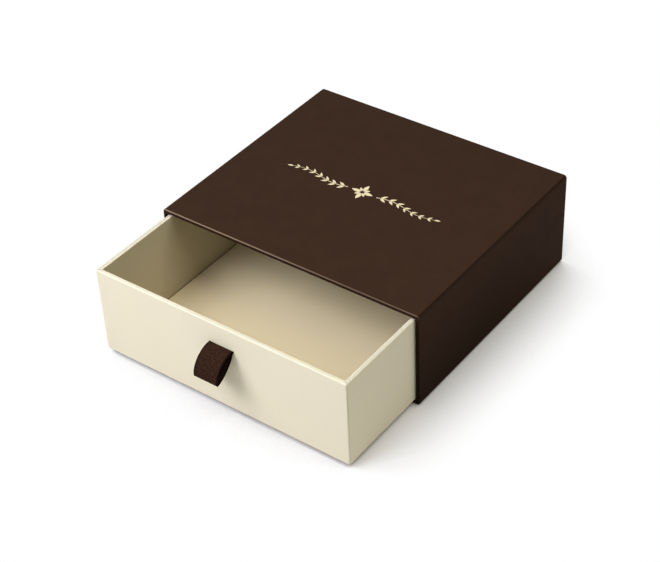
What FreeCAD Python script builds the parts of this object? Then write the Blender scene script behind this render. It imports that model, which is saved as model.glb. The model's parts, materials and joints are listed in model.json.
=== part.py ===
import FreeCAD
import Part
import math
import os

# Sliding drawer gift box in millimetres: a paper-covered board sleeve with a closed back,
# a paper-covered board tray that slides out of its mouth, and a folded ribbon pull.
# +Z is up, the mouth faces -Y, and the origin is the middle of the sleeve's underside.

# Sleeve, outside
sleeve_width = 160.0
sleeve_depth = 140.0
sleeve_height = 57.0

# Boards and papers
board_thickness = 2.0
wrap_thickness = 0.2
lining_thickness = 0.15
cover_sheet_thickness = 0.2
floor_sheet_thickness = 0.3
stay_thickness = 0.12

# Sleeve folds, edges and turn-ins, with the radii measured on the bare boards
sleeve_fold_radius = 1.7
sleeve_mouth_radius = 0.5
sleeve_back_radius = 0.6
sleeve_turn_in = 15.0
lining_set_back = 3.0
cover_sheet_margin = 3.0
cover_sheet_corner = 1.0

# Drawer folds and edges, with the radii measured on the bare boards
drawer_corner_radius = 0.6
drawer_rim_radius = 0.55
drawer_foot_radius = 0.4
stay_leg = 18.0
stay_rim_margin = 3.0
floor_sheet_gap = 0.35

# Running clearances, and how far the drawer stands open at rest
side_gap = 0.35
top_gap = 0.6
back_gap = 0.45
drawer_opening = 55.0

# Ribbon pull: both ends share one slot and the fold hangs out and down
ribbon_width = 15.0
ribbon_thickness = 0.5
pull_reach = 18.0
pull_droop_deg = 38.0
pull_upper_bow = 3.7
pull_lower_bow = 3.1
pull_offset = 2.5
slot_height_share = 0.754
slot_gap = 0.1
slot_end_gap = 0.3
neck_gap = 0.1
upper_tail_share = 0.66
lower_tail_share = 0.42

# Wall build-up at the sleeve's mouth: wrap, board, turned-in wrap, lining
sleeve_wall = wrap_thickness + board_thickness + wrap_thickness
lined_wall = sleeve_wall + lining_thickness
sleeve_mouth_y = -sleeve_depth / 2
sleeve_back_y = sleeve_depth / 2 - cover_sheet_thickness
sleeve_foot_z = cover_sheet_thickness
back_board_front_y = sleeve_back_y - wrap_thickness - board_thickness

# Drawer outside, inside and walls, worked out from what it slides in
drawer_wall = wrap_thickness + board_thickness + wrap_thickness
drawer_width = sleeve_width - 2 * (lined_wall + side_gap)
drawer_foot_z = sleeve_foot_z + lined_wall
drawer_rim_z = sleeve_height - lined_wall - top_gap
drawer_depth = back_board_front_y - lining_thickness - back_gap - sleeve_mouth_y
drawer_front_y = sleeve_mouth_y - drawer_opening
drawer_back_y = drawer_front_y + drawer_depth
drawer_floor_z = drawer_foot_z + wrap_thickness + board_thickness

# Ribbon slot and pivot
slot_z = drawer_foot_z + slot_height_share * (drawer_rim_z - drawer_foot_z)
slot_height = 2 * (ribbon_thickness + slot_gap)
slot_width = ribbon_width + 2 * slot_end_gap
pivot_y = drawer_front_y - ribbon_thickness
front_board_back_y = drawer_front_y + wrap_thickness + board_thickness
upper_tail_length = upper_tail_share * (drawer_rim_z - slot_z)
lower_tail_length = lower_tail_share * (slot_z - drawer_floor_z)


def block(low, high):
    """Box between two corners."""
    size = [high[i] - low[i] for i in range(3)]
    return Part.makeBox(*size, FreeCAD.Vector(*low))


def centred_block(width, y_span, z_span, centre_x=0):
    """Box of a width about centre_x, over a span in Y and one in Z."""
    half = width / 2
    return block((centre_x - half, y_span[0], z_span[0]), (centre_x + half, y_span[1], z_span[1]))


def edges_at(shape, axis, value):
    """Edges that lie in the plane where one coordinate (0, 1, 2 for x, y, z) has a value."""
    found = []
    for edge in shape.Edges:
        places = [getattr(vertex.Point, "xyz"[axis]) for vertex in edge.Vertexes]
        if all(math.isclose(place, value, abs_tol=lining_thickness / 10) for place in places):
            found.append(edge)
    return found


def edges_along(shape, axis):
    """Straight edges that run along one axis (0, 1, 2 for x, y, z)."""
    found = []
    for edge in shape.Edges:
        if edge.Curve.TypeId == "Part::GeomLine":
            if math.isclose(abs(getattr(edge.Curve.Direction, "xyz"[axis])), 1):
                found.append(edge)
    return found


def sleeve_body(inset):
    """Sleeve shell, its paper-covered outside moved inwards all round by inset."""
    half = sleeve_width / 2 - inset
    low_y = sleeve_mouth_y + inset
    high_y = sleeve_back_y - inset
    shell = centred_block(2 * half, (low_y, high_y), (sleeve_foot_z + inset, sleeve_height - inset))
    skin = wrap_thickness - inset
    shell = shell.makeFillet(sleeve_fold_radius + skin, edges_along(shell, 1))
    shell = shell.makeFillet(sleeve_back_radius + skin, edges_at(shell, 1, high_y))
    shell = shell.cut(sleeve_hollow(sleeve_wall - inset, low_y, sleeve_mouth_y + sleeve_turn_in))
    shell = shell.cut(sleeve_hollow(sleeve_wall - wrap_thickness, low_y + sleeve_turn_in, back_board_front_y))
    return shell.makeFillet(sleeve_mouth_radius + skin, edges_at(shell, 1, low_y))


def sleeve_hollow(wall, low_y, high_y):
    """Stretch of the room inside the sleeve that leaves a wall on its four sides."""
    return centred_block(
        sleeve_width - 2 * wall,
        (low_y, high_y),
        (sleeve_foot_z + wall, sleeve_height - wall),
    )


def sleeve_boards():
    """Base and top run full width, the sides stand between them, the back closes the end."""
    boards = sleeve_body(wrap_thickness)
    inner = sleeve_wall - wrap_thickness
    base_top_z = sleeve_foot_z + inner
    top_under_z = sleeve_height - inner
    whole_y = (sleeve_mouth_y, sleeve_back_y)
    side_y = (sleeve_mouth_y, back_board_front_y)
    room_z = (base_top_z, top_under_z)
    side_x = sleeve_width / 2 - inner
    return {
        "sleeve_base_board": boards.common(centred_block(sleeve_width, whole_y, (0, base_top_z))),
        "sleeve_top_board": boards.common(centred_block(sleeve_width, whole_y, (top_under_z, sleeve_height))),
        "sleeve_left_board": boards.common(
            block((-sleeve_width / 2, side_y[0], room_z[0]), (-side_x, side_y[1], room_z[1]))
        ),
        "sleeve_right_board": boards.common(
            block((side_x, side_y[0], room_z[0]), (sleeve_width / 2, side_y[1], room_z[1]))
        ),
        "sleeve_back_board": boards.common(
            centred_block(sleeve_width, (back_board_front_y, sleeve_back_y), room_z)
        ),
    }


def sleeve_wrap():
    """One sheet folded round the boards and the back, and turned in round the mouth."""
    return sleeve_body(0).cut(sleeve_body(wrap_thickness))


def sleeve_lining():
    """Paper lining of the five inner faces, laid over the turned-in edge of the wrap."""
    step_y = sleeve_mouth_y + sleeve_turn_in
    deep_wall = sleeve_wall - wrap_thickness
    front_y = sleeve_mouth_y + lining_set_back
    room = sleeve_hollow(sleeve_wall, front_y, step_y)
    room = room.fuse(sleeve_hollow(deep_wall, step_y, back_board_front_y))
    free = sleeve_hollow(lined_wall, front_y, back_board_front_y - lining_thickness)
    free = free.fuse(
        sleeve_hollow(
            deep_wall + lining_thickness,
            step_y + lining_thickness,
            back_board_front_y - lining_thickness,
        )
    )
    return room.cut(free)


def sleeve_base_sheet():
    """Trimmed sheet under the base that covers where the wrap's edges meet."""
    reach = sleeve_depth / 2 - cover_sheet_margin
    sheet = centred_block(
        sleeve_width - 2 * cover_sheet_margin,
        (-reach, reach),
        (0, cover_sheet_thickness),
    )
    return sheet.makeFillet(cover_sheet_corner, edges_along(sheet, 2))


def sleeve_back_sheet():
    """Trimmed sheet on the back that covers the wrap's turned-over edges."""
    sheet = centred_block(
        sleeve_width - 2 * cover_sheet_margin,
        (sleeve_back_y, sleeve_back_y + cover_sheet_thickness),
        (sleeve_foot_z + cover_sheet_margin, sleeve_height - cover_sheet_margin),
    )
    return sheet.makeFillet(cover_sheet_corner, edges_along(sheet, 1))


def drawer_prism(inset, z_span):
    """Upright block with the drawer's outline, moved inwards all round by inset."""
    prism = centred_block(
        drawer_width - 2 * inset,
        (drawer_front_y + inset, drawer_back_y - inset),
        z_span,
    )
    return prism.makeFillet(drawer_corner_radius + wrap_thickness - inset, edges_along(prism, 2))


def drawer_hollow(wall, z_span):
    """Room inside the drawer that leaves a wall on its four sides."""
    return centred_block(
        drawer_width - 2 * wall,
        (drawer_front_y + wall, drawer_back_y - wall),
        z_span,
    )


def drawer_body(inset):
    """Open tray, its paper-covered faces moved into the board by inset."""
    skin = wrap_thickness - inset
    foot_z = drawer_foot_z + inset
    rim_z = drawer_rim_z - inset
    tray = drawer_prism(inset, (foot_z, rim_z))
    tray = tray.makeFillet(drawer_foot_radius + skin, edges_at(tray, 2, foot_z))
    tray = tray.cut(drawer_hollow(drawer_wall - inset, (drawer_floor_z, rim_z)))
    return tray.makeFillet(drawer_rim_radius + skin, edges_at(tray, 2, rim_z))


def drawer_corner_stays():
    """Four strips of gummed paper that hold the board corners, pressed flush into them."""
    strip_z = (drawer_floor_z, drawer_rim_z - stay_rim_margin)
    outer = drawer_prism(wrap_thickness, strip_z)
    inner = drawer_prism(wrap_thickness + stay_thickness, strip_z)
    ring = outer.cut(inner)
    strips = []
    for corner_x in (-drawer_width / 2, drawer_width / 2):
        for corner_y in (drawer_front_y, drawer_back_y):
            column = block(
                (corner_x - stay_leg, corner_y - stay_leg, strip_z[0]),
                (corner_x + stay_leg, corner_y + stay_leg, strip_z[1]),
            )
            strips.append(ring.common(column))
    return Part.makeCompound(strips)


def ribbon_slot():
    """Cut for the ribbon, through the front's wrap and board."""
    return centred_block(
        slot_width,
        (drawer_front_y - board_thickness, front_board_back_y),
        (slot_z - slot_height / 2, slot_z + slot_height / 2),
        pull_offset,
    )


def drawer_boards():
    """Front and back run full width, the sides stand between them, the base fills the middle."""
    boards = drawer_body(wrap_thickness).cut(drawer_corner_stays())
    inner = drawer_wall - wrap_thickness
    whole_z = (drawer_foot_z, drawer_rim_z)
    room_y = (drawer_front_y + inner, drawer_back_y - inner)
    side_x = drawer_width / 2 - inner
    front = boards.common(centred_block(drawer_width, (drawer_front_y, room_y[0]), whole_z))
    return {
        "drawer_front_board": front.cut(ribbon_slot()),
        "drawer_back_board": boards.common(
            centred_block(drawer_width, (room_y[1], drawer_back_y), whole_z)
        ),
        "drawer_left_board": boards.common(
            block((-drawer_width / 2, room_y[0], whole_z[0]), (-side_x, room_y[1], whole_z[1]))
        ),
        "drawer_right_board": boards.common(
            block((side_x, room_y[0], whole_z[0]), (drawer_width / 2, room_y[1], whole_z[1]))
        ),
        "drawer_base_board": boards.common(
            centred_block(2 * side_x, room_y, (drawer_foot_z, drawer_floor_z))
        ),
    }


def ribbon_tails():
    """The ribbon's two ends: through the slot together, then glued flat, one up and one down."""
    neck = centred_block(
        ribbon_width,
        (drawer_front_y + neck_gap, front_board_back_y),
        (slot_z - ribbon_thickness, slot_z + ribbon_thickness),
        pull_offset,
    )
    spread = centred_block(
        ribbon_width,
        (front_board_back_y, front_board_back_y + ribbon_thickness),
        (slot_z - lower_tail_length, slot_z + upper_tail_length),
        pull_offset,
    )
    return neck.fuse(spread).removeSplitter()


def drawer_wrap():
    """One sheet under, up the outside, over the rim and down to the floor, and over the tails."""
    cover = drawer_body(0)
    raised = centred_block(
        ribbon_width + 2 * wrap_thickness,
        (front_board_back_y, front_board_back_y + ribbon_thickness + wrap_thickness),
        (slot_z - lower_tail_length - wrap_thickness, slot_z + upper_tail_length + wrap_thickness),
        pull_offset,
    )
    cover = cover.fuse(raised)
    cover = cover.cut(drawer_body(wrap_thickness))
    cover = cover.cut(ribbon_slot())
    return cover.cut(ribbon_tails()).removeSplitter()


def drawer_floor_sheet():
    """Sheet on the drawer's floor, trimmed a little smaller than the room."""
    return drawer_hollow(
        drawer_wall + floor_sheet_gap,
        (drawer_floor_z, drawer_floor_z + floor_sheet_thickness),
    )


def bowed_edge(start, end, bow):
    """Arc from start to end, its middle moved off the straight line by bow to the left of it."""
    along = end - start
    left = FreeCAD.Vector(0, -along.z, along.y).normalize()
    middle = (start + end) / 2 + left * bow
    return Part.Arc(start, middle, end).toShape()


def pull_ribbon():
    """Folded ribbon loop: two bowed layers from a rolled root to a creased fold."""
    droop = math.radians(pull_droop_deg)
    left_x = pull_offset - ribbon_width / 2
    root = FreeCAD.Vector(left_x, pivot_y, slot_z)
    reach = FreeCAD.Vector(0, -math.cos(droop), -math.sin(droop)) * pull_reach
    upper = bowed_edge(root, root + reach, -pull_upper_bow)
    lower = bowed_edge(root, root + reach, pull_lower_bow)
    middle_line = Part.Wire([upper, Part.Wire([lower]).Edges[0]])
    outside = Part.Face(middle_line.makeOffset2D(ribbon_thickness / 2))
    inside = Part.Face(middle_line.makeOffset2D(-ribbon_thickness / 2))
    across = FreeCAD.Vector(ribbon_width, 0, 0)
    layers = outside.extrude(across).cut(inside.extrude(across))
    roll = Part.makeCylinder(ribbon_thickness, ribbon_width, root, across)
    return layers.fuse(roll).removeSplitter()


pieces = {
    "sleeve_wrap": sleeve_wrap(),
    "sleeve_lining": sleeve_lining(),
    "sleeve_base_sheet": sleeve_base_sheet(),
    "sleeve_back_sheet": sleeve_back_sheet(),
    "drawer_corner_stays": drawer_corner_stays(),
    "drawer_wrap": drawer_wrap(),
    "drawer_floor_sheet": drawer_floor_sheet(),
    "ribbon_tails": ribbon_tails(),
    "pull_ribbon": pull_ribbon(),
}
pieces.update(sleeve_boards())
pieces.update(drawer_boards())

os.makedirs("parts", exist_ok=True)
for name, shape in pieces.items():
    shape.exportStep(os.path.join("parts", name + ".step"))
    print(name, shape.ShapeType, len(shape.Solids), shape.isValid(), round(shape.Volume, 3))
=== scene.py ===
import cmath
import json
from math import atan2, cos, degrees, pi, radians, sin, sqrt

import bmesh
import bpy
from bpy.props import FloatProperty, FloatVectorProperty, PointerProperty
from bpy.types import Operator, Panel, PropertyGroup
from mathutils import Matrix, Vector, noise


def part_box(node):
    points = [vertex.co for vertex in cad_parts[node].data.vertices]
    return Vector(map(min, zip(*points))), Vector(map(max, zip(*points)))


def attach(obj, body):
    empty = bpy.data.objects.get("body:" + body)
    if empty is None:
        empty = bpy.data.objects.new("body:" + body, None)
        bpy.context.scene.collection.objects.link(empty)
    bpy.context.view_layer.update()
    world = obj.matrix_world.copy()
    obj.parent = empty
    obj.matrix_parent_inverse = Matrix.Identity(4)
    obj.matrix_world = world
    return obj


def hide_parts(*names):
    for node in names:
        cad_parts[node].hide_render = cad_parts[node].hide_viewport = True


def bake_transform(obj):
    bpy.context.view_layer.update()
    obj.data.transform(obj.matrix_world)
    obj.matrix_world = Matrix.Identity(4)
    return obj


bl_info = {
    "name": "Sliding Drawer Gift Box",
    "version": (1, 0, 0),
    "blender": (4, 5, 0),
    "location": "View3D > Sidebar > Gift Box",
    "description": "Papers, boards, ribbon pull and foil ornament of a sliding drawer gift box",
    "category": "Object",
}

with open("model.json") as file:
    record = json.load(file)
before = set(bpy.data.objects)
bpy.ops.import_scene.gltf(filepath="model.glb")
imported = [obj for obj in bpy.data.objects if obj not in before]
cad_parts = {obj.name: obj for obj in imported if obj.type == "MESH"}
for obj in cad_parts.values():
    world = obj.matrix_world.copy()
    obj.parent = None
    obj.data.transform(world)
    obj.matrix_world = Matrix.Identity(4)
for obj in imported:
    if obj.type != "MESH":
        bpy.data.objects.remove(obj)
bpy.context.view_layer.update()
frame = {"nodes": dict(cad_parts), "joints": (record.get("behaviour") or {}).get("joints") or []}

MM = 0.001
WHITE = "#ffffff"

# steps round a quarter turn of a folded paper's corner; the middle one carries the mitre
ARC_STEPS = 8
MITRE_STEP = ARC_STEPS // 2
# sides of a rounded loop, in order round it
RIGHT, FAR, LEFT, NEAR = range(4)
# distance between the mesh's lines along a flat side
SIDE_SPACING = 10 * MM
# points of a paper's mesh that are closer than this are one
SAME_PLACE = 0.002 * MM

# way from the box to the main lamp
KEY_DIRECTION = Vector((-0.354, -0.612, 0.707))


def linear(hex_colour):
    """An sRGB hex colour as the linear colour that shaders and lamps take."""
    values = [int(hex_colour[i:i + 2], 16) / 255 for i in (1, 3, 5)]
    return [v / 12.92 if v <= 0.04045 else ((v + 0.055) / 1.055) ** 2.4 for v in values]


def shade(hex_colour):
    """The same with full alpha, for a colour socket."""
    return [*linear(hex_colour), 1.0]


def per_metre(size_mm):
    """Pattern scale whose features are this many millimetres across."""
    return 1 / (size_mm * MM)


class GiftBoxSizes(PropertyGroup):
    """Sizes of the papers, folds and ribbon that the frame doesn't give."""

    fold_radius: FloatProperty(
        name="Sleeve fold radius", description="Outer radius of the sleeve's long folds",
        default=1.9 * MM, unit="LENGTH")
    mouth_radius: FloatProperty(
        name="Mouth edge radius", description="Outer radius where the paper turns in at the sleeve's mouth",
        default=0.7 * MM, unit="LENGTH")
    back_radius: FloatProperty(
        name="Back edge radius", description="Outer radius where the paper turns over the sleeve's back",
        default=0.8 * MM, unit="LENGTH")
    turn_in: FloatProperty(
        name="Turn-in", description="How far the sleeve's paper reaches in at the mouth",
        default=15 * MM, unit="LENGTH")
    back_flap: FloatProperty(
        name="Back flap", description="How far the sleeve's paper is turned over its back",
        default=18 * MM, unit="LENGTH")
    corner_radius: FloatProperty(
        name="Drawer corner radius", description="Outer radius of the drawer's upright corners",
        default=0.8 * MM, unit="LENGTH")
    rim_radius: FloatProperty(
        name="Rim radius", description="Outer radius where the paper turns over the drawer's rim",
        default=0.4 * MM, unit="LENGTH")
    foot_radius: FloatProperty(
        name="Drawer foot radius", description="Outer radius of the drawer's bottom edges",
        default=0.6 * MM, unit="LENGTH")
    lap_width: FloatProperty(
        name="Corner lap width", description="How far the front's paper laps round onto the drawer's sides",
        default=1.7 * MM, unit="LENGTH")
    lap_step: FloatProperty(
        name="Corner lap step", description="Height of the cut edge of that lap",
        default=0.12 * MM, unit="LENGTH")
    mitre_depth: FloatProperty(
        name="Mitre depth", description="Depth of the crease where two turn-ins meet at a rim corner",
        default=0.07 * MM, unit="LENGTH")
    rib_pitch: FloatProperty(
        name="Ribbon rib pitch", description="Distance from one rib of the ribbon to the next",
        default=1.0 * MM, unit="LENGTH")
    rib_height: FloatProperty(
        name="Ribbon rib height", description="How far a rib stands over the hollow beside it",
        default=0.14 * MM, unit="LENGTH")
    foil_height: FloatProperty(
        name="Foil height", description="How far the stamped foil stands over the paper",
        default=0.03 * MM, unit="LENGTH")


class GiftBoxColours(PropertyGroup):
    """Colours of the finishes."""

    dark_paper: FloatVectorProperty(
        name="Dark paper", description="Laminated paper on the sleeve", subtype="COLOR",
        default=linear("#3c2b22"), min=0, max=1)
    dark_lining: FloatVectorProperty(
        name="Dark lining", description="Paper inside the sleeve", subtype="COLOR",
        default=linear("#2a1d17"), min=0, max=1)
    cream_paper: FloatVectorProperty(
        name="Cream paper", description="Paper on the drawer", subtype="COLOR",
        default=linear("#f3ebd8"), min=0, max=1)
    greyboard: FloatVectorProperty(
        name="Greyboard", description="Bare recycled board under the papers", subtype="COLOR",
        default=linear("#958b7b"), min=0, max=1)
    kraft: FloatVectorProperty(
        name="Kraft tape", description="Gummed paper on the board corners", subtype="COLOR",
        default=linear("#b08a5e"), min=0, max=1)
    ribbon: FloatVectorProperty(
        name="Ribbon", description="Woven ribbon of the pull", subtype="COLOR",
        default=linear("#291a13"), min=0, max=1)
    foil: FloatVectorProperty(
        name="Foil", description="Pale gold foil of the ornament", subtype="COLOR",
        default=linear("#e6d9b6"), min=0, max=1)


class GiftBoxStage(PropertyGroup):
    """Camera and light of the studio."""

    azimuth: FloatProperty(
        name="Azimuth", description="Camera's turn to the right of the box's front",
        default=radians(38.01), subtype="ANGLE")
    elevation: FloatProperty(
        name="Elevation", description="Camera's height over the horizon",
        default=radians(38.52), subtype="ANGLE")
    roll: FloatProperty(
        name="Roll", description="Camera's turn about its own axis",
        default=radians(-2.89), subtype="ANGLE")
    distance: FloatProperty(
        name="Distance", description="Camera's distance from its target", default=858.1 * MM, unit="LENGTH")
    target: FloatVectorProperty(
        name="Target", description="Point in the middle of the picture", subtype="TRANSLATION",
        default=(3.6 * MM, -39.1 * MM, 25 * MM))
    lens: FloatProperty(
        name="Lens", description="Focal length in millimetres on a 36 mm sensor", default=90.3)
    key_power: FloatProperty(
        name="Key power", description="Softbox in front on the left", default=5.35, unit="POWER")
    front_power: FloatProperty(
        name="Front power", description="Weak softbox straight in front", default=1.02, unit="POWER")
    fill_power: FloatProperty(
        name="Fill power", description="Large softbox high up on the right", default=11.6, unit="POWER")
    sky: FloatProperty(
        name="Sky", description="Strength of the even studio light", default=0.08)


def settings():
    """This scene's sizes, colours and stage."""
    return [getattr(bpy.context.scene, name) for name in GROUPS]


# Mesh tools


def linked(name, data):
    """An object for a mesh, a lamp or a camera, put in the scene."""
    made = bpy.data.objects.new(name, data)
    bpy.context.scene.collection.objects.link(made)
    return made


def piece(name, mesh, material, sharp_deg=28):
    """An object for a mesh, shaded smooth but for edges sharper than an angle."""
    for polygon in mesh.polygons:
        polygon.use_smooth = True
    mesh.set_sharp_from_angle(angle=radians(sharp_deg))
    mesh.materials.append(material)
    mesh.name = name
    return linked(name, mesh)


def even_shading(made):
    """Lets the broad flat faces set the normals beside a small rounded edge."""
    modifier = made.modifiers.new("even_shading", "WEIGHTED_NORMAL")
    modifier.keep_sharp = True


def smooth_step(value, low, high):
    """0 up to low, 1 from high, with a soft slope between."""
    share = min(max((value - low) / (high - low), 0.0), 1.0)
    return share * share * (3 - 2 * share)


def hump(value, middle, reach):
    """1 at the middle, falling softly to 0 at a reach on both sides."""
    return 1 - smooth_step(abs(value - middle), 0, reach)


def steps(start, end, count):
    """count equal steps from start to end, without start."""
    return [start + (end - start) * i / count for i in range(1, count + 1)]


def bezier(a, b, c, d, count):
    """Points of a cubic curve from a to d."""
    points = []
    for i in range(count + 1):
        t = i / count
        s = 1 - t
        points.append(a * s ** 3 + b * 3 * s * s * t + c * 3 * s * t * t + d * t ** 3)
    return points


def evened(points, spacing):
    """The same line with its points at an even spacing."""
    lengths = [0.0]
    for a, b in zip(points, points[1:]):
        lengths.append(lengths[-1] + (b - a).length)
    count = max(round(lengths[-1] / spacing), 1)
    made, k = [], 0
    for i in range(count + 1):
        want = lengths[-1] * i / count
        while k < len(lengths) - 2 and lengths[k + 1] < want:
            k += 1
        run = max(lengths[k + 1] - lengths[k], 1e-12)
        made.append(points[k].lerp(points[k + 1], (want - lengths[k]) / run))
    return made


def relaxed(points, rounds):
    """The same line with its sharp turns eased, both ends kept."""
    for _ in range(rounds):
        inner = [(a + 2 * b + c) / 4 for a, b, c in zip(points, points[1:], points[2:])]
        points = [points[0], *inner, points[-1]]
    return points


def finished_mesh(maker):
    """The mesh that a mesh maker holds, with its faces turned outwards."""
    bmesh.ops.recalc_face_normals(maker, faces=maker.faces)
    mesh = bpy.data.meshes.new("made")
    maker.to_mesh(mesh)
    maker.free()
    return mesh


class RoundedLoop:
    """Rounded rectangle about the origin that can be drawn at any inset with the same points.

    near and extra_u say where its sides have points of their own, as in side_marks.
    A station is ("corner", signs, angle, step) or ("side", which, place along it, None)."""

    def __init__(self, half_u, half_v, radius, near, extra_u=()):
        self.half = (half_u, half_v)
        self.radius = radius
        self.stations = []
        marks_u, marks_v = side_marks(half_u, radius, near, extra_u), side_marks(half_v, radius, near)
        turns = ((1, -1), (1, 1), (-1, 1), (-1, -1))
        for side, signs in enumerate(turns):
            start = radians(90 * side - 90)
            for i in range(ARC_STEPS + 1):
                self.stations.append(("corner", signs, start + radians(90) * i / ARC_STEPS, i))
            along = marks_v if side in (RIGHT, LEFT) else marks_u
            for mark in sorted(along, reverse=side in (FAR, LEFT)):
                self.stations.append(("side", side, mark, None))

    def point(self, station, inset):
        """Place of a station on the loop at an inset."""
        kind, where, value, _ = station
        out_u, out_v = (half - inset for half in self.half)
        flat_u, flat_v = (half - max(self.radius, inset) for half in self.half)
        if kind == "corner":
            bend = max(self.radius - inset, 0)
            return where[0] * flat_u + bend * cos(value), where[1] * flat_v + bend * sin(value)
        if where in (RIGHT, LEFT):
            return out_u if where == RIGHT else -out_u, min(max(value, -flat_v), flat_v)
        return min(max(value, -flat_u), flat_u), out_v if where == FAR else -out_v


def side_marks(half, radius, near, extra=()):
    """Places along a side: close beside both corners, evenly between, and where extra says."""
    limit = half - radius
    count = max(int(2 * limit / SIDE_SPACING), 1)
    even = [-limit + 2 * limit * i / count for i in range(1, count)]
    close = [sign * (limit - step) for step in near for sign in (-1, 1)]
    clear = [e for e in even if all(abs(e - x) > 0.4 * SIDE_SPACING for x in [*close, *extra])]
    return sorted({round(x, 9) for x in [*clear, *close, *extra]})


def arc(centre, radius, start_deg, end_deg, count):
    """Points on an arc, both ends included."""
    points = []
    for i in range(count + 1):
        angle = radians(start_deg + (end_deg - start_deg) * i / count)
        points.append((centre[0] + radius * cos(angle), centre[1] + radius * sin(angle)))
    return points


def turned_paper(wall, inner_end, top, bottom, nose, foot, under, inner_marks, outer_marks):
    """Visible side of a paper in section, as (inset, height) from its end inside to its end underneath.

    It goes up the inside of a wall, over its rounded rim, down the outside, and round under it."""
    line = [(wall, inner_end)]
    line += [(wall, h) for h in sorted(inner_marks)]
    line += arc((wall - nose, top - nose), nose, 0, 90, 6)
    line += [(inset, top) for inset in steps(wall - nose, nose, 4)[:-1]]
    line += arc((nose, top - nose), nose, 90, 180, 6)
    line += [(0.0, h) for h in sorted(outer_marks, reverse=True)]
    line += arc((foot, bottom + foot), foot, 180, 270, 5)
    line += [(under, bottom)]
    return line


def glued_side(line, thickness):
    """The other face of a paper: the line moved to its left by the paper's thickness."""
    points = [complex(*point) for point in line]
    lefts = [1j * (b - a) / abs(b - a) for a, b in zip(points, points[1:])]
    moved = []
    for point, before, after in zip(points, [lefts[0], *lefts], [*lefts, lefts[-1]]):
        left = (before + after) / 2
        place = point + left * thickness / abs(left) ** 2
        moved.append((place.real, place.imag))
    return moved


def paper_shell(loop, line, thickness, place, push, closed_under, skip=None):
    """Closed skin of a folded paper: its section swept round a loop.

    place turns (u, v, height) into a point. push(station, inset, height) gives the extra inset and
    the drop of a point. skip(station, next station, line index) names the cells that are a slot."""
    maker = bmesh.new()
    stations, count = loop.stations, len(loop.stations)
    layers = []
    for side in (line, glued_side(line, thickness)):
        rings = []
        for (inset, height), seen in zip(side, line):
            ring = []
            for station in stations:
                extra, drop = push(station, *seen)
                u, v = loop.point(station, inset + extra)
                ring.append(maker.verts.new(place(u, v, height - drop)))
            rings.append(ring)
        layers.append(rings)
    visible, glued = layers
    last = len(line) - 1

    def is_open(i, j):
        return skip is not None and skip(stations[j % count], stations[(j + 1) % count], i)

    def cut_edge(i, j, other_i, other_j):
        """A face of the paper's thickness, between two places of both layers."""
        maker.faces.new([
            visible[i][j], visible[other_i][other_j], glued[other_i][other_j], glued[i][j]])

    for i in range(last):
        for j in range(count):
            k = (j + 1) % count
            if is_open(i, j):
                around = (
                    (i - 1, j, (i, j, i, k)), (i, k, (i, k, i + 1, k)),
                    (i + 1, j, (i + 1, k, i + 1, j)), (i, j - 1, (i + 1, j, i, j)))
                for next_i, next_j, edge in around:
                    if not is_open(next_i, next_j):
                        cut_edge(*edge)
                continue
            for rings in layers:
                cell = [rings[i][j], rings[i][k], rings[i + 1][k], rings[i + 1][j]]
                maker.faces.new(cell if rings is glued else cell[::-1])
    for i in (0,) if closed_under else (0, last):
        for j in range(count):
            cut_edge(i, j, i, (j + 1) % count)
    if closed_under:
        maker.faces.new(visible[last][::-1])
        maker.faces.new(glued[last])
    bmesh.ops.remove_doubles(maker, verts=maker.verts, dist=SAME_PLACE)
    bmesh.ops.dissolve_degenerate(maker, edges=maker.edges, dist=SAME_PLACE)
    return finished_mesh(maker)


def mark_zones(mesh, zones):
    """Stores each zone's weight, 0 to 1, at the vertices, for a material to read by the zone's name.

    A zone is (weight function, colour there, strength)."""
    for weigh, _, _ in zones:
        attribute = mesh.attributes.new(weigh.__name__, "FLOAT", "POINT")
        for vertex, entry in zip(mesh.vertices, attribute.data):
            entry.value = weigh(vertex.co)


# Materials


# a Mix node's colour sockets, which share their names with its number sockets
FACTOR, FIRST, SECOND, MIXED = 0, 6, 7, 2


def add_node(tree, kind, inputs=None, **options):
    """Adds a node, sets its options, and fills its inputs with values, outputs or other nodes.

    A node stands for its first output. Inputs of one name go by their place."""
    node = tree.nodes.new("ShaderNode" + kind)
    for name, value in options.items():
        setattr(node, name, value)
    for key, value in (inputs or {}).items():
        if isinstance(value, bpy.types.Node):
            value = value.outputs[0]
        if isinstance(value, bpy.types.NodeSocket):
            tree.links.new(value, node.inputs[key])
        else:
            node.inputs[key].default_value = value
    return node


def blank_material(name):
    """A material with an empty tree, and that tree."""
    material = bpy.data.materials.new(name)
    material.use_nodes = True
    material.node_tree.nodes.clear()
    return material, material.node_tree


def varied(tree, where, colour, dark, light, size_mm, detail, low, high):
    """A colour that drifts from a darker to a lighter tone of it in soft patches of a real size."""
    cloud = add_node(tree, "TexNoise", {
        "Vector": where, "Scale": per_metre(size_mm), "Detail": detail, "Roughness": 0.55})
    share = add_node(tree, "MapRange", {"Value": cloud, "From Min": low, "From Max": high})
    mix = add_node(tree, "Mix", {
        FACTOR: share, FIRST: dimmed(colour, dark),
        SECOND: dimmed(colour, light)}, data_type="RGBA")
    return mix.outputs[MIXED]


def zoned(tree, colour, weigh, other, strength):
    """A colour that turns to another one in a zone that the mesh carries."""
    zone = add_node(tree, "Attribute", attribute_name=weigh.__name__)
    share = add_node(tree, "Math", {0: zone.outputs["Fac"], 1: strength}, operation="MULTIPLY")
    mix = add_node(tree, "Mix", {FACTOR: share, FIRST: colour, SECOND: other}, data_type="RGBA")
    return mix.outputs[MIXED]


def dimmed(colour, factor):
    """A linear colour times a factor, with alpha."""
    return [min(c * factor, 1.0) for c in colour[:3]] + [1.0]


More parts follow.
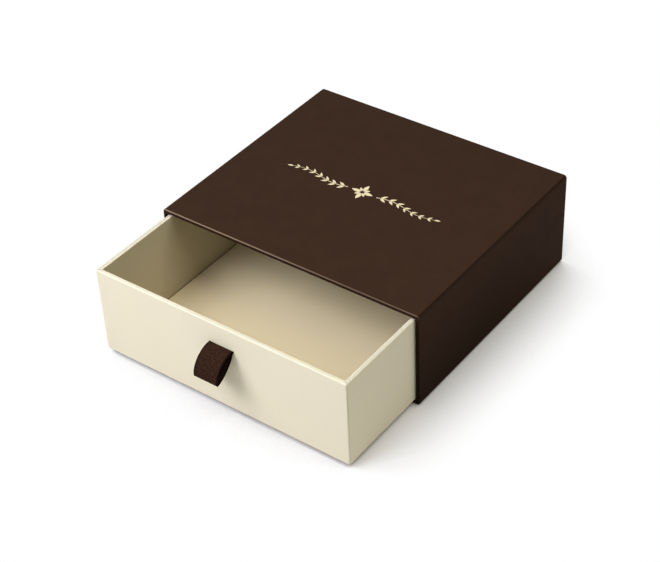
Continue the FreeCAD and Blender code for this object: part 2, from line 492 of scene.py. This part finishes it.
def paper_material(
        name, colour, zones=(), *, roughness, specular, cloud_mm, fibre_mm, fibre_height_mm, drift):
    """Smooth printed paper glued on board: short felted fibres and a slow drift of tone.

    The fibres catch the light as a faint grain, and the board under them as broad soft hollows."""
    board_hollow_mm, grain_mm = 11, 0.9
    material, tree = blank_material(name)
    where = add_node(tree, "TexCoord").outputs["Object"]
    base = varied(tree, where, colour, 1 - drift, 1 + drift, cloud_mm, 3, 0.35, 0.65)
    more = 1.6 * drift
    grain = varied(tree, where, colour, 1 - more, 1 + more, grain_mm, 4, 0.3, 0.7)
    mix = add_node(tree, "Mix", {FACTOR: 0.5, FIRST: base, SECOND: grain}, data_type="RGBA")
    tone = mix.outputs[MIXED]
    for weigh, other, strength in zones:
        tone = zoned(tree, tone, weigh, other, strength)
    fibres = add_node(tree, "TexNoise", {
        "Vector": where, "Scale": per_metre(fibre_mm), "Detail": 5.0, "Roughness": 0.6})
    hollows = add_node(tree, "TexNoise", {
        "Vector": where, "Scale": per_metre(board_hollow_mm), "Detail": 2.0, "Roughness": 0.5})
    fine = add_node(tree, "Bump", {"Height": fibres, "Distance": fibre_height_mm * MM})
    both = add_node(tree, "Bump", {"Height": hollows, "Distance": 0.12 * MM, "Normal": fine})
    gloss = add_node(tree, "MapRange", {
        "Value": fibres, "To Min": roughness - 0.05, "To Max": roughness + 0.05})
    surface = add_node(tree, "BsdfPrincipled", {
        "Base Color": tone, "Roughness": gloss, "IOR": 1.5,
        "Specular IOR Level": specular, "Normal": both})
    add_node(tree, "OutputMaterial", {"Surface": surface})
    return material


def greyboard_material(name, colour):
    """Recycled greyboard, calendered: dull, with darker flecks of printed waste paper."""
    material, tree = blank_material(name)
    where = add_node(tree, "TexCoord").outputs["Object"]
    base = varied(tree, where, colour, 0.92, 1.08, 8, 4, 0.35, 0.65)
    flecks = add_node(tree, "TexVoronoi", {"Vector": where, "Scale": per_metre(1.4)})
    share = add_node(tree, "MapRange", {
        "Value": flecks, "From Min": 0.1, "From Max": 0.2, "To Min": 0.5, "To Max": 0.0})
    tone = add_node(tree, "Mix", {
        FACTOR: share, FIRST: base, SECOND: dimmed(colour, 0.45)}, data_type="RGBA")
    fibres = add_node(tree, "TexNoise", {"Vector": where, "Scale": per_metre(0.5), "Detail": 6.0})
    bump = add_node(tree, "Bump", {"Height": fibres, "Distance": 0.05 * MM})
    surface = add_node(tree, "BsdfPrincipled", {
        "Base Color": tone.outputs[MIXED], "Roughness": 0.92, "Specular IOR Level": 0.25,
        "Normal": bump})
    add_node(tree, "OutputMaterial", {"Surface": surface})
    return material


def kraft_material(name, colour):
    """Gummed kraft tape: brown, unbleached, with long machine-direction fibres."""
    material, tree = blank_material(name)
    where = add_node(tree, "TexCoord").outputs["Object"]
    long_way = add_node(tree, "Mapping", {"Vector": where, "Scale": (1.0, 1.0, 0.15)})
    streaks = varied(tree, long_way, colour, 0.85, 1.12, 0.6, 5, 0.35, 0.65)
    surface = add_node(tree, "BsdfPrincipled", {
        "Base Color": streaks, "Roughness": 0.7, "Specular IOR Level": 0.35})
    add_node(tree, "OutputMaterial", {"Surface": surface})
    return material


def ribbon_material(name, colour, rib_pitch, width, flat_map):
    """Polyester grosgrain, woven with weft ribs; its colour holds a painted sheen on each rib,
    painted shade in the hollows and painted shade along both edges.

    The warp threads that cross the ribs are 0.25 mm apart in the real weave and are drawn at 0.7 mm,
    as coarse as they need to be to show."""
    warp_pitch, warp_weight = 0.7 * MM, 0.4
    # where the painted shade along the ribbon's edges begins and is full
    edge_shade_start, edge_shade_full = width / 2 - 1.2 * MM, width / 2 - 0.5 * MM
    material, tree = blank_material(name)
    if flat_map:
        flat = add_node(tree, "UVMap", uv_map=flat_map)
    else:
        place = add_node(tree, "TexCoord").outputs["Object"]
        parts = add_node(tree, "SeparateXYZ", {"Vector": place})
        flat = add_node(tree, "CombineXYZ", {"X": parts.outputs["Z"], "Y": parts.outputs["X"]})
    axes = add_node(tree, "SeparateXYZ", {"Vector": flat})
    waves = []
    for axis, pitch in (("X", rib_pitch), ("Y", warp_pitch)):
        turns = add_node(tree, "Math", {
            0: axes.outputs[axis], 1: 2 * pi / pitch}, operation="MULTIPLY")
        waves.append(add_node(tree, "Math", {0: turns}, operation="COSINE"))
    rib, warp = waves
    weave = add_node(tree, "Math", {0: warp, 1: warp_weight, 2: rib}, operation="MULTIPLY_ADD")
    rib_share = add_node(tree, "MapRange", {
        "Value": weave, "From Min": -1 - warp_weight, "From Max": 1 + warp_weight})
    # painted sheen on the rib tops and painted shade in the hollows, in the ribbon's colour
    ribs = add_node(tree, "Mix", {
        FACTOR: rib_share, FIRST: dimmed(colour, 0.35),
        SECOND: dimmed(colour, 1.75)}, data_type="RGBA")
    thread = add_node(tree, "TexNoise", {"Vector": flat, "Scale": per_metre(0.9), "Detail": 3.0})
    thread_share = add_node(tree, "MapRange", {
        "Value": thread, "From Min": 0.45, "From Max": 0.62, "To Max": 0.8})
    lit = add_node(tree, "Mix", {
        FACTOR: thread_share, FIRST: ribs.outputs[MIXED],
        SECOND: dimmed(colour, 2.4)}, data_type="RGBA")
    if flat_map:
        off_middle = add_node(tree, "Math", {
            0: axes.outputs["Y"], 1: width / 2}, operation="SUBTRACT")
        aside = add_node(tree, "Math", {0: off_middle}, operation="ABSOLUTE")
        # painted shade along both edges of the ribbon
        edge_shade = add_node(tree, "MapRange", {
            "Value": aside, "From Min": edge_shade_start, "From Max": edge_shade_full,
            "To Max": 0.9})
        lit = add_node(tree, "Mix", {
            FACTOR: edge_shade, FIRST: lit.outputs[MIXED],
            SECOND: dimmed(colour, 0.15)}, data_type="RGBA")
    bump = add_node(tree, "Bump", {"Height": weave, "Distance": 0.03 * MM})
    surface = add_node(tree, "BsdfPrincipled", {
        "Base Color": lit.outputs[MIXED], "Roughness": 0.62, "Specular IOR Level": 0.02,
        "Sheen Weight": 0.02, "Sheen Roughness": 0.4, "Sheen Tint": dimmed(colour, 6.0),
        "Normal": bump})
    add_node(tree, "OutputMaterial", {"Surface": surface})
    return material


def foil_material(name, colour):
    """Hot-stamped pale gold foil: a metal film that takes the paper's faint grain under it."""
    material, tree = blank_material(name)
    where = add_node(tree, "TexCoord").outputs["Object"]
    grain = add_node(tree, "TexNoise", {"Vector": where, "Scale": per_metre(0.3), "Detail": 4.0})
    bump = add_node(tree, "Bump", {"Height": grain, "Distance": 0.01 * MM})
    gloss = add_node(tree, "MapRange", {"Value": grain, "To Min": 0.52, "To Max": 0.64})
    surface = add_node(tree, "BsdfPrincipled", {
        "Base Color": dimmed(colour, 1), "Metallic": 0.5, "Roughness": gloss, "Normal": bump})
    add_node(tree, "OutputMaterial", {"Surface": surface})
    return material


def finish_node(node_name, material):
    """Gives a CAD node its material."""
    slots = frame["nodes"][node_name].data.materials
    slots.clear()
    slots.append(material)


# Wraps


def hinge_place():
    """Where the pull's hinge is, in metres."""
    joints = {joint["name"]: joint for joint in frame["joints"]}
    return Vector(joints["pull_hinge"]["pos_m"])


def sleeve_folds(sizes, low, high, paper, wall):
    """The wrap: turned in at the mouth, out along the sleeve and turned over at the back."""
    middle, half = (low + high) / 2, (high - low) / 2
    near = [0.25 * MM, 0.9 * MM]
    loop = RoundedLoop(half.x, half.z, sizes.fold_radius, near)
    depth = high.y - low.y
    even = [0.3 * MM, 1.2 * MM, *steps(1.2 * MM, depth - 1.2 * MM, 14)]
    outer = [-sizes.mouth_radius - h for h in even if sizes.mouth_radius + h < depth - 1.5 * MM]
    line = turned_paper(
        wall, -sizes.turn_in, 0.0, -depth, sizes.mouth_radius, sizes.back_radius, sizes.back_flap,
        [-sizes.turn_in * share for share in (0.75, 0.5, 0.25, 0.12)],
        [*outer, 0.3 * MM + sizes.back_radius - depth])

    def push(station, inset, height):
        mitre = station[0] == "corner" and station[3] == MITRE_STEP and height > -0.2 * MM
        return 0.0, sizes.mitre_depth if mitre else 0.0

    return paper_shell(
        loop, line, paper, lambda u, v, h: Vector((u, low.y - h, middle.z + v)), push, False)


def sleeve_zones(sizes, colours, low, high, wall):
    """Where the wrap looks other than plain: painted shade, and a pale upper mouth edge of wear and painted
    highlight.
    """
    middle, half = (low + high) / 2, (high - low) / 2
    fold_x, fold_z = half.x - sizes.fold_radius, half.z - sizes.fold_radius

    def crease(co):
        """The long folds, darkened by painted shade in place of the darker reflection along a rounded fold.
        """
        over_x, over_z = abs(co.x) - fold_x, abs(co.z - middle.z) - fold_z
        if min(over_x, over_z) <= 0:
            return 0.0
        return hump(degrees(atan2(over_z, over_x)), 50, 28)

    def depth_in(co):
        return min(half.x - abs(co.x), half.z - abs(co.z - middle.z))

    def worn(co):
        """The mouth's upper edge, made pale by wear from the drawer and by a painted highlight, most on the
        left where the lamp is.
        """
        rise = depth_in(co) - sizes.mouth_radius
        run = co.y - low.y - sizes.mouth_radius
        if max(rise, run) >= 0 or co.z < high.z - 0.9 * MM:
            return 0.0
        # the painted highlight fades from the lit left towards the right
        more_on_left = 1 - 0.55 * smooth_step(co.x / half.x, -0.5, 0.56)
        return more_on_left * hump(degrees(atan2(-run, -rise)), 38, 34)

    def mouth(co):
        """Painted shade on the front of the mouth's frame, least on its upper side."""
        shaded = 0.35 if high.z - co.z < wall else 1.0
        return shaded * smooth_step(low.y + 0.5 * MM - co.y, 0, 0.4 * MM) * smooth_step(
            depth_in(co), 0.1 * MM, 0.5 * MM)

    def held(co):
        """Painted shade on the sides, darkest low down and near the mouth."""
        if half.x - abs(co.x) > sizes.fold_radius:
            return 0.0
        return (high.z - co.z) / (high.z - low.z) * smooth_step(high.y - co.y, 0, 80 * MM)

    # the first three zones are painted shade; the last is wear with a painted highlight
    return (
        (held, dimmed(colours.dark_paper, 0.42), 0.8),
        (crease, dimmed(colours.dark_paper, 0.35), 0.8),
        (mouth, dimmed(colours.dark_paper, 0.3), 0.8),
        (worn, shade("#b79f8b"), 0.75))


def drawer_folds(sizes, low, high, paper, wall, sheet_z):
    """The wrap: under the drawer, up outside, over the rim and down inside to the floor."""
    floor_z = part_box("drawer_base_board")[1].z
    tail_low, tail_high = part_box("ribbon_tails")
    tail = tail_high.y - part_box("drawer_front_board")[1].y
    middle, half = (low + high) / 2, (high - low) / 2
    slot_x = (tail_low.x + tail_high.x) / 2
    slot_half = (tail_high.x - tail_low.x) / 2 + 0.3 * MM
    slot_z = hinge_place().z
    slot_rise = tail + 0.1 * MM
    # the wrap rises over the glued ribbon ends within this distance
    slope = 0.9 * MM
    lap_end = sizes.lap_width
    lap_start = half.y - sizes.corner_radius - lap_end - 0.01 * MM
    near = [0.25 * MM, lap_end, lap_end + 0.06 * MM, lap_end + 0.8 * MM]
    tail_marks = [
        slot_x + side * (slot_half + step)
        for side in (-1, 1) for step in (0.0, 0.3 * slope, 0.7 * slope, slope)]
    loop = RoundedLoop(half.x, half.y, sizes.corner_radius, near, tail_marks)
    inner = [
        sheet_z + 0.3 * MM, sheet_z + 0.7 * MM,
        tail_low.z - slope, tail_low.z - 0.5 * slope, tail_low.z, slot_z,
        tail_high.z, tail_high.z + 0.5 * slope, tail_high.z + slope, floor_z + 6 * MM]
    outer = [
        high.z - sizes.rim_radius - 0.3 * MM, high.z - 1.6 * MM, high.z - 2.4 * MM, high.z - 6 * MM,
        slot_z + slot_rise, slot_z - slot_rise, *steps(slot_z - slot_rise, low.z + 3 * MM, 4),
        low.z + 1.6 * MM, low.z + 0.9 * MM]
    line = turned_paper(
        wall, floor_z, high.z, low.z, sizes.rim_radius, sizes.foot_radius, 20 * MM, inner, outer)

    def push(station, inset, height):
        kind, where, value, step = station
        drop = 0.0
        if kind == "corner" and step == MITRE_STEP and height > high.z - 0.2 * MM:
            drop = sizes.mitre_depth
        extra = 0.0
        if inset == 0.0:
            lap = smooth_step(high.z - height, 1.2 * MM, 2.0 * MM)
            lap *= smooth_step(height - low.z, 0.8 * MM, 1.5 * MM)
            if kind == "corner":
                extra = -sizes.lap_step * lap * abs(cos(value))
            elif where in (RIGHT, LEFT) and abs(value) > lap_start:
                extra = -sizes.lap_step * lap
        if inset == wall and kind == "side" and where == NEAR:
            over = smooth_step(slot_half + slope - abs(value - slot_x), 0, slope)
            over *= smooth_step(height - tail_low.z, -slope, 0.0)
            over *= smooth_step(tail_high.z - height, -slope, 0.0)
            extra = tail * over
        return extra, drop

    slot_row = line.index((0.0, slot_z + slot_rise))

    def skip(station, following, row):
        if row != slot_row or station[:2] != ("side", NEAR) or following[:2] != ("side", NEAR):
            return False
        return abs((station[2] + following[2]) / 2 - slot_x) < slot_half

    return paper_shell(
        loop, line, paper, lambda u, v, h: Vector((middle.x + u, middle.y + v, h)), push, True, skip)


def drawer_zones(sizes, colours, low, high, paper, wall, sheet_z):
    """Where the wrap looks other than plain: mostly painted shade, pale rim edges of wear and painted
    highlight, and glue and mitre lines.
    """
    middle, half = (low + high) / 2, (high - low) / 2

    def depth_in(co):
        return min(half.x - abs(co.x - middle.x), half.y - abs(co.y - middle.y))

    def on_front(co):
        return co.y - low.y < half.x - abs(co.x - middle.x)

    def rim(co):
        """Painted shade on the rim's flat, which takes the most light; less of it on the front."""
        share = 0.55 if on_front(co) else 1.0
        return share * smooth_step(co.z, high.z - 0.4 * MM, high.z - 0.1 * MM)

    def rim_edges(co):
        """The rim's two folded edges, made pale by wear and by a painted highlight; the outer one only on
        the lit front.
        """
        across = depth_in(co) / wall
        outer_edge = hump(across, 0.08, 0.2) if on_front(co) else 0.0
        inner_edge = (0.4 if on_front(co) else 0.8) * hump(across, 0.88, 0.2)
        return max(outer_edge, inner_edge) * smooth_step(co.z, high.z - 0.4 * MM, high.z - 0.2 * MM)

    def corner(co):
        """Painted shade along the drawer's upright rounded corners."""
        over_x = abs(co.x - middle.x) - half.x + sizes.corner_radius
        over_y = abs(co.y - middle.y) - half.y + sizes.corner_radius
        if min(over_x, over_y) <= 0:
            return 0.0
        turned = hump(degrees(atan2(over_y, over_x)), 30, 42)
        return turned * smooth_step(high.z - co.z, 0.6 * MM, 1.4 * MM)

    def mitre(co):
        """The crease where two turn-ins meet at a rim corner."""
        off = abs(abs(co.x - middle.x) - half.x - abs(co.y - middle.y) + half.y)
        return hump(off, 0, 0.35 * MM) * smooth_step(co.z, high.z - 0.7 * MM, high.z - 0.4 * MM)

    def inside(co):
        """Painted shade on the drawer's inner faces, darker than the outside's paper."""
        return smooth_step(depth_in(co), wall - 2.5 * paper, wall - paper) * smooth_step(
            high.z - co.z, 0.1 * MM, 0.35 * MM)

    def wall_foot(co):
        """The thin line where the walls meet the floor sheet: a glue line darkened further by painted
        shade.
        """
        return smooth_step(sheet_z + 0.7 * MM - co.z, 0, 0.4 * MM) * smooth_step(
            depth_in(co), wall - 2.5 * paper, wall - paper)

    # painted shade on the inner faces, the wall foot, the rim's flat and the upright corners; wear and
    # painted highlight on the rim's edges; the mitre is a real crease
    return (
        (inside, shade("#c7bda4"), 1.0),
        (wall_foot, shade("#8a7a4e"), 0.6),
        (rim, shade("#ddd6c4"), 1.0),
        (rim_edges, shade("#fffbee"), 0.8),
        (corner, dimmed(colours.cream_paper, 0.62), 0.55),
        (mitre, dimmed(colours.cream_paper, 0.62), 0.6))


# Operators


class GIFTBOX_OT_boards(Operator):
    """Finish the bare boards and the corner stays that lie under the papers"""

    bl_idname = "giftbox.boards"
    bl_label = "Boards"

    def execute(self, context):
        colours = settings()[1]
        board = greyboard_material("greyboard_recycled_calendered", colours.greyboard)
        for name in frame["nodes"]:
            if name.endswith("_board"):
                finish_node(name, board)
        finish_node("drawer_corner_stays", kraft_material("kraft_tape_gummed", colours.kraft))
        return {"FINISHED"}


class GIFTBOX_OT_sleeve(Operator):
    """Wrap the sleeve in its dark paper and line it"""

    bl_idname = "giftbox.sleeve"
    bl_label = "Sleeve papers"

    def execute(self, context):
        sizes, colours, _ = settings()
        low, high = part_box("sleeve_wrap")
        board_low, board_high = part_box("sleeve_base_board")
        paper = board_low.z - low.z
        wall = board_high.z - low.z + paper
        mesh = sleeve_folds(sizes, low, high, paper, wall)
        zones = sleeve_zones(sizes, colours, low, high, wall)
        mark_zones(mesh, zones)
        laminated = {
            "roughness": 0.5, "specular": 0.007, "cloud_mm": 9,
            "fibre_mm": 0.5, "fibre_height_mm": 0.012, "drift": 0.09}
        made = piece("sleeve_paper", mesh, paper_material(
            "art_paper_matt_laminated_dark", colours.dark_paper, zones, **laminated))
        even_shading(made)
        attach(made, "sleeve")
        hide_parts("sleeve_wrap")
        plain = paper_material("art_paper_matt_laminated_sheet", colours.dark_paper, **laminated)
        finish_node("sleeve_base_sheet", plain)
        finish_node("sleeve_back_sheet", plain)
        finish_node("sleeve_lining", paper_material(
            "uncoated_lining_paper_dark", colours.dark_lining, roughness=0.8, specular=0.1,
            cloud_mm=12, fibre_mm=0.6, fibre_height_mm=0.03, drift=0.08))
        return {"FINISHED"}


class GIFTBOX_OT_drawer(Operator):
    """Wrap the drawer in its cream paper and lay its floor sheet"""

    bl_idname = "giftbox.drawer"
    bl_label = "Drawer papers"

    def execute(self, context):
        sizes, colours, _ = settings()
        low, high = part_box("drawer_wrap")
        front_low, front_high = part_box("drawer_front_board")
        sheet_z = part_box("drawer_floor_sheet")[1].z
        paper = front_low.y - low.y
        wall = front_high.y - low.y + paper
        mesh = drawer_folds(sizes, low, high, paper, wall, sheet_z)
        zones = drawer_zones(sizes, colours, low, high, paper, wall, sheet_z)
        mark_zones(mesh, zones)
        made = piece("drawer_paper", mesh, paper_material(
            "art_paper_matt_cream", colours.cream_paper, zones, roughness=0.62, specular=0.2,
            cloud_mm=26, fibre_mm=0.55, fibre_height_mm=0.015, drift=0.012))
        even_shading(made)
        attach(made, "drawer")
        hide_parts("drawer_wrap")
        finish_node("drawer_floor_sheet", paper_material(
            "uncoated_floor_paper_cream", linear("#fbebc8"), roughness=0.75, specular=0.06,
            cloud_mm=20, fibre_mm=0.6, fibre_height_mm=0.03, drift=0.015))
        return {"FINISHED"}


class GIFTBOX_OT_ribbon(Operator):
    """Fold the grosgrain ribbon into its pull and thread it through the slot"""

    bl_idname = "giftbox.ribbon"
    bl_label = "Ribbon pull"

    def execute(self, context):
        sizes, colours, _ = settings()
        low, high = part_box("pull_ribbon")
        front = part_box("drawer_wrap")[0].y
        hinge = hinge_place()
        thick = front - hinge.y
        lift = Vector((0, 0, thick / 2))
        slot = Vector((0, front - 0.1 * MM, hinge.z))
        inside = slot + Vector((0, 1.7 * MM, 0))

        def at(y_mm, z_mm):
            return slot + Vector((0, y_mm, z_mm)) * MM

        tip = at(-13.2, -12.2)
        upper = bezier(slot + lift, at(-6.6, 0.9), at(-13.8, -5.4), tip, 60)
        lower = bezier(at(-0.3, 0) - lift, at(-2.0, -4.6), at(-6.8, -10.2), tip, 60)
        fine = evened([inside + lift, *upper, *lower[-2::-1], inside - lift], 0.1 * MM)
        line = evened(relaxed(fine, 12), sizes.rib_pitch / 6)
        width = high.x - low.x
        mesh = self.strip(line, low.x, width, thick * 0.42, sizes)
        made = piece("pull_grosgrain", mesh, ribbon_material(
            "grosgrain_polyester_woven", colours.ribbon, sizes.rib_pitch, width, "flat_ribbon"), 180)
        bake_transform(made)
        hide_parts("pull_ribbon")
        finish_node("ribbon_tails", ribbon_material(
            "grosgrain_polyester_glued", colours.ribbon, sizes.rib_pitch, width, None))
        return {"FINISHED"}

    def strip(self, line, left, width, half, sizes):
        """Closed ribbed strip along a line in the YZ plane."""
        rounded, ribs_start = 0.3 * MM, 0.9 * MM
        edge = [0.0, 0.12 * MM, rounded, 0.55 * MM, ribs_start]
        across = edge + steps(1.5 * MM, width - 1.5 * MM, 8) + [width - e for e in reversed(edge)]
        maker = bmesh.new()
        flat = maker.loops.layers.uv.new("flat_ribbon")
        rows = []
        run = 0.0
        for i, centre in enumerate(line):
            if i:
                run += (centre - line[i - 1]).length
            ahead = line[min(i + 1, len(line) - 1)] - line[max(i - 1, 0)]
            normal = Vector((0, -ahead.z, ahead.y)).normalized()
            wave = 0.5 + 0.5 * cos(2 * pi * run / sizes.rib_pitch)
            row = []
            for side in (1, -1):
                for x in across:
                    inwards = min(x, width - x)
                    round_off = sqrt(max(1 - (1 - min(inwards / rounded, 1.0)) ** 2, 0.0))
                    ribbed = smooth_step(inwards, rounded, ribs_start)
                    rise = half * round_off - sizes.rib_height * (1 - wave) * ribbed * 0.5
                    waver = 0.0
                    if x in (0.0, width):
                        waver = 0.05 * MM * noise.noise(Vector((run * 400, side * x * 120, 3.0)))
                    row.append((
                        left + x + waver, centre + normal * side * max(rise, 0.01 * MM), run, x))
            rows.append(row)
        columns = len(across)
        verts = [[maker.verts.new((x, at.y, at.z)) for x, at, _, _ in row] for row in rows]

        def face(corners):
            made = maker.faces.new([verts[r][c] for r, c in corners])
            for loop, (r, c) in zip(made.loops, corners):
                loop[flat].uv = (rows[r][c][2], rows[r][c][3])

        for r in range(len(rows) - 1):
            for c in range(columns - 1):
                face([(r, c), (r, c + 1), (r + 1, c + 1), (r + 1, c)])
                b = c + columns
                face([(r, b), (r + 1, b), (r + 1, b + 1), (r, b + 1)])
            for c in (0, columns - 1):
                face([(r, c), (r + 1, c), (r + 1, c + columns), (r, c + columns)])
        for r in (0, len(rows) - 1):
            for c in range(columns - 1):
                face([(r, c), (r, c + 1), (r, c + 1 + columns), (r, c + columns)])
        return finished_mesh(maker)


class GIFTBOX_OT_ornament(Operator):
    """Stamp a plain foil flourish on the sleeve's top"""

    bl_idname = "giftbox.ornament"
    bl_label = "Foil ornament"

    def execute(self, context):
        sizes, colours, _ = settings()
        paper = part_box("sleeve_base_board")[0].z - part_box("sleeve_wrap")[0].z
        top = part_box("sleeve_top_board")[1].z + paper
        middle = Vector((-1.5 * MM, -1.5 * MM))
        spray = self.spray()
        outlines = self.rosette(6.6 * MM) + spray + [[-point for point in leaf] for leaf in spray]
        maker = bmesh.new()
        for outline in outlines:
            upper, under = (
                [maker.verts.new((middle.x + point.real, middle.y + point.imag, z)) for point in outline]
                for z in (top + sizes.foil_height, top - sizes.foil_height))
            maker.faces.new(upper)
            maker.faces.new(under[::-1])
            for i in range(len(outline)):
                k = (i + 1) % len(outline)
                maker.faces.new([upper[k], upper[i], under[i], under[k]])
        made = piece("foil_ornament", finished_mesh(maker), foil_material(
            "hot_stamped_foil_pale_gold", colours.foil))
        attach(made, "sleeve")
        return {"FINISHED"}

    # an outline's points are complex numbers, x + yj on the sleeve's top
    def leaf(self, root, angle, length, width):
        """Pointed leaf, widest a little before its middle, from its root at an angle."""
        shares = [i / 16 for i in range(17)]
        line = [complex(length * share, width / 2 * sin(pi * share ** 0.8)) for share in shares]
        line += [point.conjugate() for point in line[-2:0:-1]]
        return [root + point * cmath.rect(1, angle) for point in line]

    def rosette(self, radius):
        """Four long leaves with four short ones between, round an open eye."""
        eye = 1.0 * MM
        made = []
        for i in range(8):
            length = radius if i % 2 == 0 else 0.66 * radius
            angle = radians(45 * i)
            made.append(self.leaf(cmath.rect(eye, angle), angle, length - eye, 0.36 * length))
        return made

    def spray(self):
        """A leafy stem that runs out to the right in a long soft wave."""
        start, end, wave, half_thick = 9.0 * MM, 45.0 * MM, 1.5 * MM, 0.22 * MM
        leaf_pairs, leaf_angle = 7, radians(38)

        def stem(share):
            return complex(start + (end - start) * share, wave * sin(2 * pi * share))

        def heading(share):
            return cmath.phase(stem(share + 0.02) - stem(share))

        shares = [i / 40 for i in range(41)]
        upper, lower = (
            [stem(share) + side * half_thick * (1 - 0.6 * share) for share in shares]
            for side in (1j, -1j))
        made = [upper + lower[::-1]]
        for i in range(leaf_pairs):
            share = 0.06 + 0.84 * i / (leaf_pairs - 1)
            length = (4.6 - 1.9 * share) * MM
            for side in (1, -1):
                angle = heading(share) + side * leaf_angle
                made.append(self.leaf(stem(share), angle, length, 0.34 * length))
        made.append(self.leaf(stem(1.0), heading(1.0), 3.4 * MM, 1.2 * MM))
        return made


class GIFTBOX_OT_stage(Operator):
    """Set the pale floor, the studio light and the camera"""

    bl_idname = "giftbox.stage"
    bl_label = "Stage"

    def execute(self, context):
        stage = settings()[2]
        self.floor()
        self.light(stage)
        self.camera(stage)
        context.scene.view_settings.view_transform = "Standard"
        return {"FINISHED"}

    def seen(self, tree, path):
        """1 for a ray from the camera, straight, mirrored or let through, and 0 for the light's own."""
        reached = path.outputs["Is Camera Ray"]
        for kind in ("Is Glossy Ray", "Is Transmission Ray"):
            reached = add_node(tree, "Math", {0: reached, 1: path.outputs[kind]}, operation="MAXIMUM")
        return reached

    def floor(self):
        """A pale floor that keeps the shadow near the box and is plain white further off.

        How much of the space round a point the box leaves open tells how near it stands, in every
        pose of the drawer. The floor goes white where enough is open all round, and sooner on the
        side of the main lamp."""
        look_out = 60 * MM
        shadow_open, clear_open = 0.49, 0.84
        lit_foot_open, lit_clear_open = 0.78, 0.86
        mesh = bpy.data.meshes.new("floor")
        half = 4.0
        corners = [(-half, -half, 0), (half, -half, 0), (half, half, 0), (-half, half, 0)]
        mesh.from_pydata(corners, [], [(0, 1, 2, 3)])
        material, tree = blank_material("studio_floor_painted")
        path = add_node(tree, "LightPath")
        # darker for the light that bounces up to the box
        paint = add_node(tree, "Mix", {
            FACTOR: path.outputs["Is Camera Ray"], FIRST: shade("#cccbc6"),
            SECOND: shade("#e2e0e7")}, data_type="RGBA")
        lit = add_node(tree, "BsdfDiffuse", {"Color": paint.outputs[MIXED]})
        glow = add_node(tree, "Emission", {"Color": shade(WHITE)})
        all_round = add_node(tree, "AmbientOcclusion", {"Distance": look_out}, samples=8)
        shadow_end = add_node(tree, "MapRange", {
            "Value": all_round.outputs["AO"], "From Min": shadow_open, "From Max": clear_open})
        to_key = add_node(tree, "CombineXYZ", dict(zip("XYZ", KEY_DIRECTION)))
        to_lamp = add_node(tree, "AmbientOcclusion", {"Distance": look_out, "Normal": to_key}, samples=8)
        lit_side = add_node(tree, "MapRange", {
            "Value": to_lamp.outputs["AO"], "From Min": lit_foot_open, "From Max": lit_clear_open})
        clear = add_node(tree, "Math", {0: shadow_end, 1: lit_side}, operation="MAXIMUM")
        share = add_node(tree, "Math", {0: self.seen(tree, path), 1: clear}, operation="MULTIPLY")
        mix = add_node(tree, "MixShader", {0: share, 1: lit, 2: glow})
        add_node(tree, "OutputMaterial", {"Surface": mix})
        mesh.materials.append(material)
        linked("floor", mesh)

    def light(self, stage):
        """Softboxes in front on the left, straight in front and high up on the right, and a faint sky."""
        world = bpy.data.worlds.new("studio_sky")
        bpy.context.scene.world = world
        world.use_nodes = True
        tree = world.node_tree
        tree.nodes.clear()
        path = add_node(tree, "LightPath")
        strength = add_node(tree, "MapRange", {"Value": self.seen(tree, path), "To Min": stage.sky})
        glow = add_node(tree, "Background", {"Color": shade(WHITE), "Strength": strength})
        add_node(tree, "OutputWorld", {"Surface": glow})
        self.softbox("key_softbox", KEY_DIRECTION, 0.9, 0.5, stage.key_power, WHITE)
        self.softbox("front_softbox", Vector((0.0, -0.8, 0.6)), 0.9, 0.6, stage.front_power, WHITE)
        self.softbox(
            "fill_softbox", Vector((0.45, 0.04, 0.893)), 1.5, 1.17, stage.fill_power, "#fffce6")

    def softbox(self, name, direction, distance, size, power, colour):
        """A square area lamp that faces the box."""
        lamp = bpy.data.lights.new(name, "AREA")
        lamp.color = linear(colour)
        lamp.energy = power
        lamp.size = size
        made = linked(name, lamp)
        made.location = direction.normalized() * distance
        made.rotation_mode = "QUATERNION"
        made.rotation_quaternion = direction.to_track_quat("Z", "Y")

    def camera(self, stage):
        """The photograph's view of the box."""
        lens = bpy.data.cameras.new("camera")
        lens.lens = stage.lens
        lens.clip_start, lens.clip_end = 50 * MM, 20.0
        made = linked("camera", lens)
        made.matrix_world = (
            Matrix.Translation(stage.target)
            @ Matrix.Rotation(stage.azimuth, 4, "Z")
            @ Matrix.Rotation(pi / 2 - stage.elevation, 4, "X")
            @ Matrix.Rotation(stage.roll, 4, "Z")
            @ Matrix.Translation((0, 0, stage.distance)))
        bpy.context.scene.camera = made


class GIFTBOX_PT_panel(Panel):
    """Lists the steps that dress the gift box"""

    bl_idname = "GIFTBOX_PT_panel"
    bl_label = "Gift Box"
    bl_space_type = "VIEW_3D"
    bl_region_type = "UI"
    bl_category = "Gift Box"

    def draw(self, context):
        for operator in OPERATORS:
            self.layout.operator(operator.bl_idname)
        for group in settings():
            for name in group.__annotations__:
                self.layout.prop(group, name)


GROUPS = {
    "gift_box_sizes": GiftBoxSizes,
    "gift_box_colours": GiftBoxColours,
    "gift_box_stage": GiftBoxStage,
}
OPERATORS = (
    GIFTBOX_OT_boards,
    GIFTBOX_OT_sleeve,
    GIFTBOX_OT_drawer,
    GIFTBOX_OT_ribbon,
    GIFTBOX_OT_ornament,
    GIFTBOX_OT_stage,
)
CLASSES = (*GROUPS.values(), *OPERATORS, GIFTBOX_PT_panel)


def register():
    for item in CLASSES:
        bpy.utils.register_class(item)
    for name, group in GROUPS.items():
        setattr(bpy.types.Scene, name, PointerProperty(type=group))


def unregister():
    for name in GROUPS:
        delattr(bpy.types.Scene, name)
    for item in reversed(CLASSES):
        bpy.utils.unregister_class(item)


def main():
    register()
    bpy.ops.giftbox.boards()
    bpy.ops.giftbox.sleeve()
    bpy.ops.giftbox.drawer()
    bpy.ops.giftbox.ribbon()
    bpy.ops.giftbox.ornament()
    bpy.ops.giftbox.stage()


if __name__ == "__main__":
    main()
